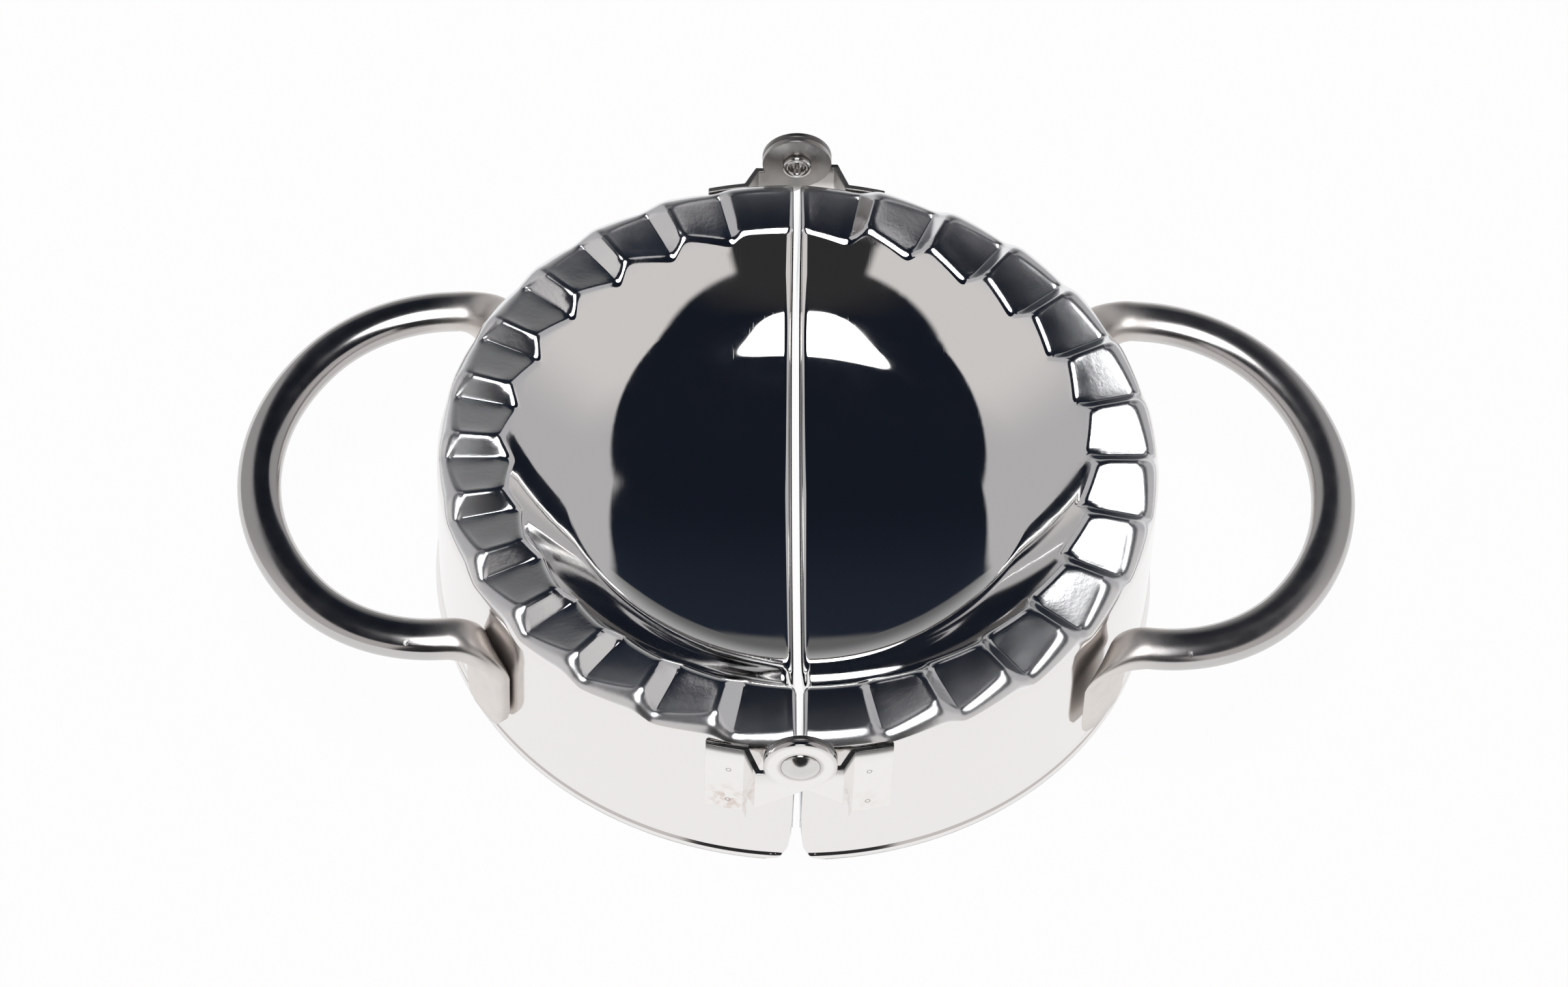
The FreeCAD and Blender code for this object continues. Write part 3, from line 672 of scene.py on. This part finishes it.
def shell_steel():
    """Mirror polish: clean in the bowl, grainier on the pressed teeth, faint turning lines."""
    bowl_colour = (0.925, 0.92, 0.915)
    teeth_colour = (0.88, 0.885, 0.9)
    skirt_colour = (0.845, 0.825, 0.815)
    mouth_radii, rim_radii = (0.0375, 0.0386), (0.0470, 0.0474)
    ring_count, ring_drift = 5200, 14
    wipe_angle, wipe_stretch, wipe_level = 0.6, (9000, 160, 160), (0.68, 0.76)
    material, tree, inputs, place = metal("mirror_shell_steel")
    x, y, _ = split(tree, place)
    radius = length_of(tree, x, y)
    skirt = mask(tree, radius, *rim_radii)
    teeth = minus(tree, mask(tree, radius, *mouth_radii), skirt, clamp=True)
    peel = noise(tree, place, scale=1500, detail=3, rough=0.6)
    grain = noise(tree, place, scale=7000, detail=1, rough=0.5)
    drift_x, drift_y = times(tree, x, ring_drift), times(tree, y, ring_drift)
    lines = combine(tree, times(tree, radius, ring_count), drift_x, drift_y)
    turned = noise(tree, lines, scale=1.0, detail=2, rough=0.6)
    patches = noise(tree, place, scale=160, detail=3, rough=0.6)
    worn = times(tree, teeth, remap(tree, radius, 0.0385, 0.0465, 0.08, 0.22))
    rough = plus(tree, remap(tree, patches, 0.35, 0.7, 0.03, 0.06), worn)
    rough = plus(tree, rough, times(tree, skirt, 0.06))
    tree.links.new(rough, inputs["Roughness"])
    wiped = node(tree, "ShaderNodeMapping")
    wiped.inputs["Rotation"].default_value = (0, 0, wipe_angle)
    wiped.inputs["Scale"].default_value = wipe_stretch
    tree.links.new(place, wiped.inputs[0])
    wiping = noise(tree, wiped.outputs[0], scale=1.0, detail=1, rough=0.5)
    normal = bump(tree, turned, depth=1.4e-7)
    normal = bump(tree, mask(tree, wiping, *wipe_level), 2.5e-7, normal)
    normal = bump(tree, times(tree, peel, teeth), 9e-6, normal)
    normal = bump(tree, times(tree, grain, teeth), 1.1e-6, normal)
    tree.links.new(normal, inputs["Normal"])
    colour = mix_colour(tree, teeth, bowl_colour, teeth_colour)
    colour = mix_colour(tree, skirt, colour, skirt_colour)
    tree.links.new(colour, inputs["Base Color"])
    return material


def handle_steel():
    """Satin tube: fine scratches, dull patches, crimp marks and warm tint at the elbows."""
    satin, heated = (0.58, 0.565, 0.56), (0.83, 0.785, 0.75)
    crimps = ((0.0506, 0.0293, 0), (0.0508, 0.0254, 0))
    crimp_radii, ragged_by = (0.0008, 0.0004), 0.0008
    elbow_radii = (0.0575, 0.050)  # from the axis, where the tube starts to be heated and is
    material, tree, inputs, place = metal("satin_handle_steel")
    x, y, _ = split(tree, place)
    fine = noise(tree, place, scale=3800, detail=3, rough=0.65)
    broad = noise(tree, place, scale=260, detail=3, rough=0.6)
    ends = mask(tree, length_of(tree, x, y), *elbow_radii)
    worn = remap(tree, x, -0.05, 0.05, 0.14, 0.2)
    rough = plus(tree, worn, remap(tree, broad, 0.35, 0.7, 0, 0.04))
    rough = plus(tree, rough, times(tree, ends, 0.24))
    folded = combine(tree, absolute(tree, x), absolute(tree, y), 0)
    marks = None
    for crimp in crimps:
        ragged = plus(tree, distance(tree, folded, crimp), times(tree, fine, ragged_by))
        mark = mask(tree, ragged, *crimp_radii)
        marks = mark if marks is None else larger(tree, marks, mark)
    rough = minus(tree, rough, times(tree, marks, 0.05))
    tree.links.new(rough, inputs["Roughness"])
    normal = bump(tree, marks, -1.5e-5, bump(tree, fine, depth=2e-6))
    tree.links.new(normal, inputs["Normal"])
    tint = times(tree, ends, remap(tree, broad, 0.3, 0.65, 0.7, 1))
    tree.links.new(mix_colour(tree, tint, satin, heated), inputs["Base Color"])
    return material


def leaf_steel():
    """Rolled sheet: spot-weld rings with a heat stain, dark sheared ears, painted contact shade and
    grime at the rivet, painted shade at the ears' brink and on the rear leaves' inner faces.
    """
    rolled, stained = (0.88, 0.86, 0.845), (0.66, 0.53, 0.47)
    # Painted shade colour for the rear leaves' inner faces, and painted contact shade with grime
    # round the rivet
    rear_shade_colour, grime_and_shade_colour = (0.4, 0.39, 0.38), (0.36, 0.34, 0.33)
    ring_colour, sheared_colour = (0.3, 0.29, 0.28), (0.2, 0.195, 0.19)
    weld_x, upper_weld, lower_weld = 0.009, 0.0192, 0.0128
    weld_radius, weld_line, stain_radius = 0.0003, (0.00012, 0.00003), 0.004
    rear_shade_start, rear_shade_end, rear_shade_foot = (0.02, 0.03), (0.0513, 0.0503), (0.0195, 0.0212)
    # Radii of the painted contact shade with grime round the rivet, and of the painted shade at the
    # ear's brink
    grime_and_shade_radii, brink_shade_radii, brink_shade_foot = (0.0032, 0.0026), (0.0040, 0.0046), (0.021, 0.025)
    sheared_radii, sheared_foot = (0.00452, 0.00466), (-0.003, -0.002)
    inner_ear_front, front_end, inner_ear_rear = (-0.0507, -0.0505), (0.001, 0), (0.0505, 0.0507)
    material, tree, inputs, place = metal("rolled_leaf_steel")
    broad = noise(tree, place, scale=700, detail=4, rough=0.65)
    fine = noise(tree, place, scale=5200, detail=2, rough=0.6)
    x, y, height = split(tree, place)

    # Painted shade on the rear leaves' inner faces, which stand in the dark
    rear = times(tree, mask(tree, y, *rear_shade_start), mask(tree, y, *rear_shade_end))
    rear = times(tree, rear, mask(tree, height, *rear_shade_foot))

    # Painted contact shade and grime round the rivet, and painted shade at the brink of the ear
    pin_z = minus(tree, height, HINGE * MM)
    reach = length_of(tree, x, pin_z)
    brink_shade = remap(tree, reach, *brink_shade_radii, 0, 0.3)
    brink_shade = times(tree, brink_shade, mask(tree, height, *brink_shade_foot))
    grime_and_shade = larger(tree, times(tree, mask(tree, reach, *grime_and_shade_radii), 0.5), brink_shade)

    # Sheared edges of the ears that lie behind
    sheared = times(tree, mask(tree, reach, *sheared_radii), mask(tree, pin_z, *sheared_foot))
    behind = times(tree, mask(tree, y, *inner_ear_front), mask(tree, y, *front_end))
    behind = plus(tree, behind, mask(tree, y, *inner_ear_rear))
    sheared = times(tree, sheared, behind)

    rough = plus(tree, remap(tree, broad, 0.35, 0.7, 0.1, 0.18), times(tree, rear, 0.2))
    tree.links.new(plus(tree, rough, times(tree, sheared, 0.15)), inputs["Roughness"])

    # Spot welds, and the stain round the lower one
    flat = combine(tree, absolute(tree, x), 0, height)
    rings = None
    for weld_z in (upper_weld, lower_weld):
        away = distance(tree, flat, (weld_x, 0, weld_z))
        ring = mask(tree, absolute(tree, minus(tree, away, weld_radius)), *weld_line)
        rings = ring if rings is None else larger(tree, rings, ring)
    stain = mask(tree, away, stain_radius, weld_radius)
    left = times(tree, mask(tree, x, -0.004, -0.009), remap(tree, y, 0, 0.01, 1, 0.2))
    stain = times(tree, stain, mask(tree, broad, 0.42, 0.62))
    stain = times(tree, stain, remap(tree, left, 0, 1, 0.12, 0.75))

    normal = bump(tree, rings, 2e-5, bump(tree, fine, depth=5e-7))
    tree.links.new(normal, inputs["Normal"])
    colour = mix_colour(tree, stain, rolled, stained)
    # Painted shade on the rear leaves' inner faces
    colour = mix_colour(tree, rear, colour, rear_shade_colour)
    # Painted contact shade and grime round the rivet, painted shade at the ear's brink
    colour = mix_colour(tree, grime_and_shade, colour, grime_and_shade_colour)
    colour = mix_colour(tree, times(tree, rings, 0.7), colour, ring_colour)
    colour = mix_colour(tree, sheared, colour, sheared_colour)
    tree.links.new(colour, inputs["Base Color"])
    return material


def rivet_steel():
    """Satin rivet with small tool marks."""
    bright, dull = (0.74, 0.73, 0.72), (0.64, 0.62, 0.60)
    material, tree, inputs, place = metal("satin_rivet_steel")
    fine = noise(tree, place, scale=3000, detail=3, rough=0.6)
    tree.links.new(remap(tree, fine, 0.3, 0.7, 0.12, 0.18), inputs["Roughness"])
    tree.links.new(bump(tree, fine, depth=1.5e-6), inputs["Normal"])
    colour = mix_colour(tree, noise(tree, place, scale=500), bright, dull)
    tree.links.new(colour, inputs["Base Color"])
    return material


# Pieces on their bodies
def place_piece(piece, body, material, node_name):
    piece.data.materials.clear()
    piece.data.materials.append(material)
    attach(piece, body)
    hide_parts(node_name)


shell = shell_steel()
tube = handle_steel()
leaf = leaf_steel()
stud = rivet_steel()
for side, turned in (("left", False), ("right", True)):
    body = side + "_half"
    pressing = shell_mesh(side + "_pressing", turned)
    place_piece(pressing, body, shell, side + "_shell")
    bow = handle_mesh(side + "_bow", not turned)
    place_piece(bow, body, tube, side + "_handle")
    for end in ("front", "rear"):
        leaf_name = "%s_%s_hinge_leaf" % (end, side)
        piece = leaf_mesh(leaf_name + "_eased", leaf_name)
        place_piece(piece, body, leaf, leaf_name)
for end, sign in (("front", -1), ("rear", 1)):
    piece = rivet_mesh(end + "_stud", sign)
    place_piece(piece, "left_half", stud, end + "_rivet")


# Table
def table():
    """A white table, which the camera and the mirrors see at its full white."""
    half_size = 3.0
    seen_white = 0.965
    paint = ((0.93, 0.93, 0.93), (0.96, 0.96, 0.96))
    bm = bmesh.new()
    corners = []
    for x, y in ((-1, -1), (1, -1), (1, 1), (-1, 1)):
        corners.append(bm.verts.new((x * half_size, y * half_size, 0)))
    bm.faces.new(corners)
    piece = add_mesh("table_top", bm)
    material = bpy.data.materials.new("white_table")
    tree = tree_of(material)
    place = node(tree, "ShaderNodeTexCoord").outputs["Object"]
    dull = node(tree, "ShaderNodeBsdfDiffuse")
    colour = mix_colour(tree, noise(tree, place, scale=9), *paint)
    tree.links.new(colour, dull.inputs[0])
    glow = node(tree, "ShaderNodeEmission")
    glow.inputs["Strength"].default_value = 1.0
    path = node(tree, "ShaderNodeLightPath").outputs
    seen = plus(tree, path["Is Camera Ray"], path["Is Glossy Ray"])
    seen = plus(tree, seen, path["Is Transmission Ray"], clamp=True)
    mix = node(tree, "ShaderNodeMixShader")
    tree.links.new(times(tree, seen, seen_white), mix.inputs[0])
    tree.links.new(dull.outputs[0], mix.inputs[1])
    tree.links.new(glow.outputs[0], mix.inputs[2])
    output = node(tree, "ShaderNodeOutputMaterial")
    tree.links.new(mix.outputs[0], output.inputs[0])
    piece.data.materials.append(material)


table()


# Studio: a softbox overhead, pale walls at both sides, a dark room, white ground
def studio():
    """The world, by direction: x to the right, y away from the camera, z up."""
    white = (1.0, 1.0, 1.0)
    dusk, far_dusk = (0.0075, 0.0098, 0.0165), (0.0135, 0.018, 0.029)
    front_colour = (0.028, 0.027, 0.028)
    wall_colour, rear_wall_colour = (0.63, 0.605, 0.595), (0.45, 0.44, 0.445)
    box_colour = (4.0, 4.0, 4.0)
    box_x, box_y, box_width, box_depth, box_power = -0.03, -0.13, 0.228, 0.395, 3
    world = bpy.data.worlds.new("studio")
    bpy.context.scene.world = world
    tree = tree_of(world)
    x, y, z = split(tree, node(tree, "ShaderNodeTexCoord").outputs["Generated"])

    # Dark room, a little lighter far behind and in front
    colour = mix_colour(tree, mask(tree, y, 0.6, 0.85), dusk, far_dusk)
    colour = mix_colour(tree, mask(tree, y, -0.45, -0.66), colour, front_colour)

    # Grey rear wall under an arched line
    arch = plus(tree, times(tree, times(tree, x, x), 1.15), z)
    rear = times(tree, mask(tree, y, 0.2, 0.4), mask(tree, arch, 0.545, 0.52))
    pale = remap(tree, z, 0.1, 0.5, 0.42, 0.12)
    grey = node(tree, "ShaderNodeCombineColor")
    for socket in grey.inputs:
        tree.links.new(pale, socket)
    colour = mix_colour(tree, rear, colour, grey.outputs[0])

    # Pale walls at both sides, up to a line that rises away from the camera
    top = remap(tree, y, -0.3, 0.4, 0.70, 0.755)
    top = plus(tree, top, remap(tree, y, -0.55, 0.1, -0.028, 0))
    below = mask(tree, minus(tree, z, top), 0.012, -0.012)
    depth = calc(tree, "DIVIDE", y, larger(tree, absolute(tree, x), 0.001))
    before, behind = mask(tree, depth, 2.15, 1.85), mask(tree, depth, -2.15, -1.8)
    wall = times(tree, times(tree, below, before), behind)
    pale_wall = mix_colour(tree, mask(tree, y, 0.0, 0.45), wall_colour, rear_wall_colour)
    colour = mix_colour(tree, wall, colour, pale_wall)

    # Softbox with rounded corners
    across = calc(tree, "DIVIDE", minus(tree, x, box_x), box_width)
    along = calc(tree, "DIVIDE", minus(tree, y, box_y), box_depth)
    across = calc(tree, "POWER", absolute(tree, across), box_power)
    along = calc(tree, "POWER", absolute(tree, along), box_power)
    box = mask(tree, plus(tree, across, along), 1.08, 0.92)
    box = times(tree, box, mask(tree, z, 0.1, 0.2))
    colour = mix_colour(tree, box, colour, box_colour)

    colour = mix_colour(tree, mask(tree, z, 0.0, -0.02), colour, white)
    path = node(tree, "ShaderNodeLightPath")
    colour = mix_colour(tree, path.outputs["Is Camera Ray"], colour, white)
    back = node(tree, "ShaderNodeBackground")
    tree.links.new(colour, back.inputs[0])
    output = node(tree, "ShaderNodeOutputWorld")
    tree.links.new(back.outputs[0], output.inputs[0])


studio()

# Camera where the photograph was taken from
SENSOR = 36
PHOTO_WIDTH = 2408
FOCAL_PIXELS = 10134.8
ELEVATION = math.radians(51.58)
AZIMUTH = math.radians(-2.09)
ROLL = 0.0426
TARGET = Vector((-1.798, -3.046, 20.0))
DISTANCE = 869.0


def camera():
    lens = bpy.data.cameras.new("photo_camera")
    lens.sensor_width = SENSOR
    lens.lens = FOCAL_PIXELS / PHOTO_WIDTH * SENSOR
    lens.clip_start = 0.05
    lens.clip_end = 20
    eye = bpy.data.objects.new("photo_camera", lens)
    bpy.context.collection.objects.link(eye)
    level = math.cos(ELEVATION)
    back = Vector((math.sin(AZIMUTH) * level, -math.cos(AZIMUTH) * level, math.sin(ELEVATION)))
    right = (-back).cross(Vector((0, 0, 1))).normalized()
    up = right.cross(-back)
    turned_right = right * math.cos(ROLL) + up * math.sin(ROLL)
    turned_up = up * math.cos(ROLL) - right * math.sin(ROLL)
    turn = Matrix((turned_right, turned_up, back)).transposed()
    eye.matrix_world = Matrix.Translation((TARGET + back * DISTANCE) * MM) @ turn.to_4x4()
    bpy.context.scene.camera = eye


camera()
bpy.context.scene.view_settings.view_transform = "Standard"
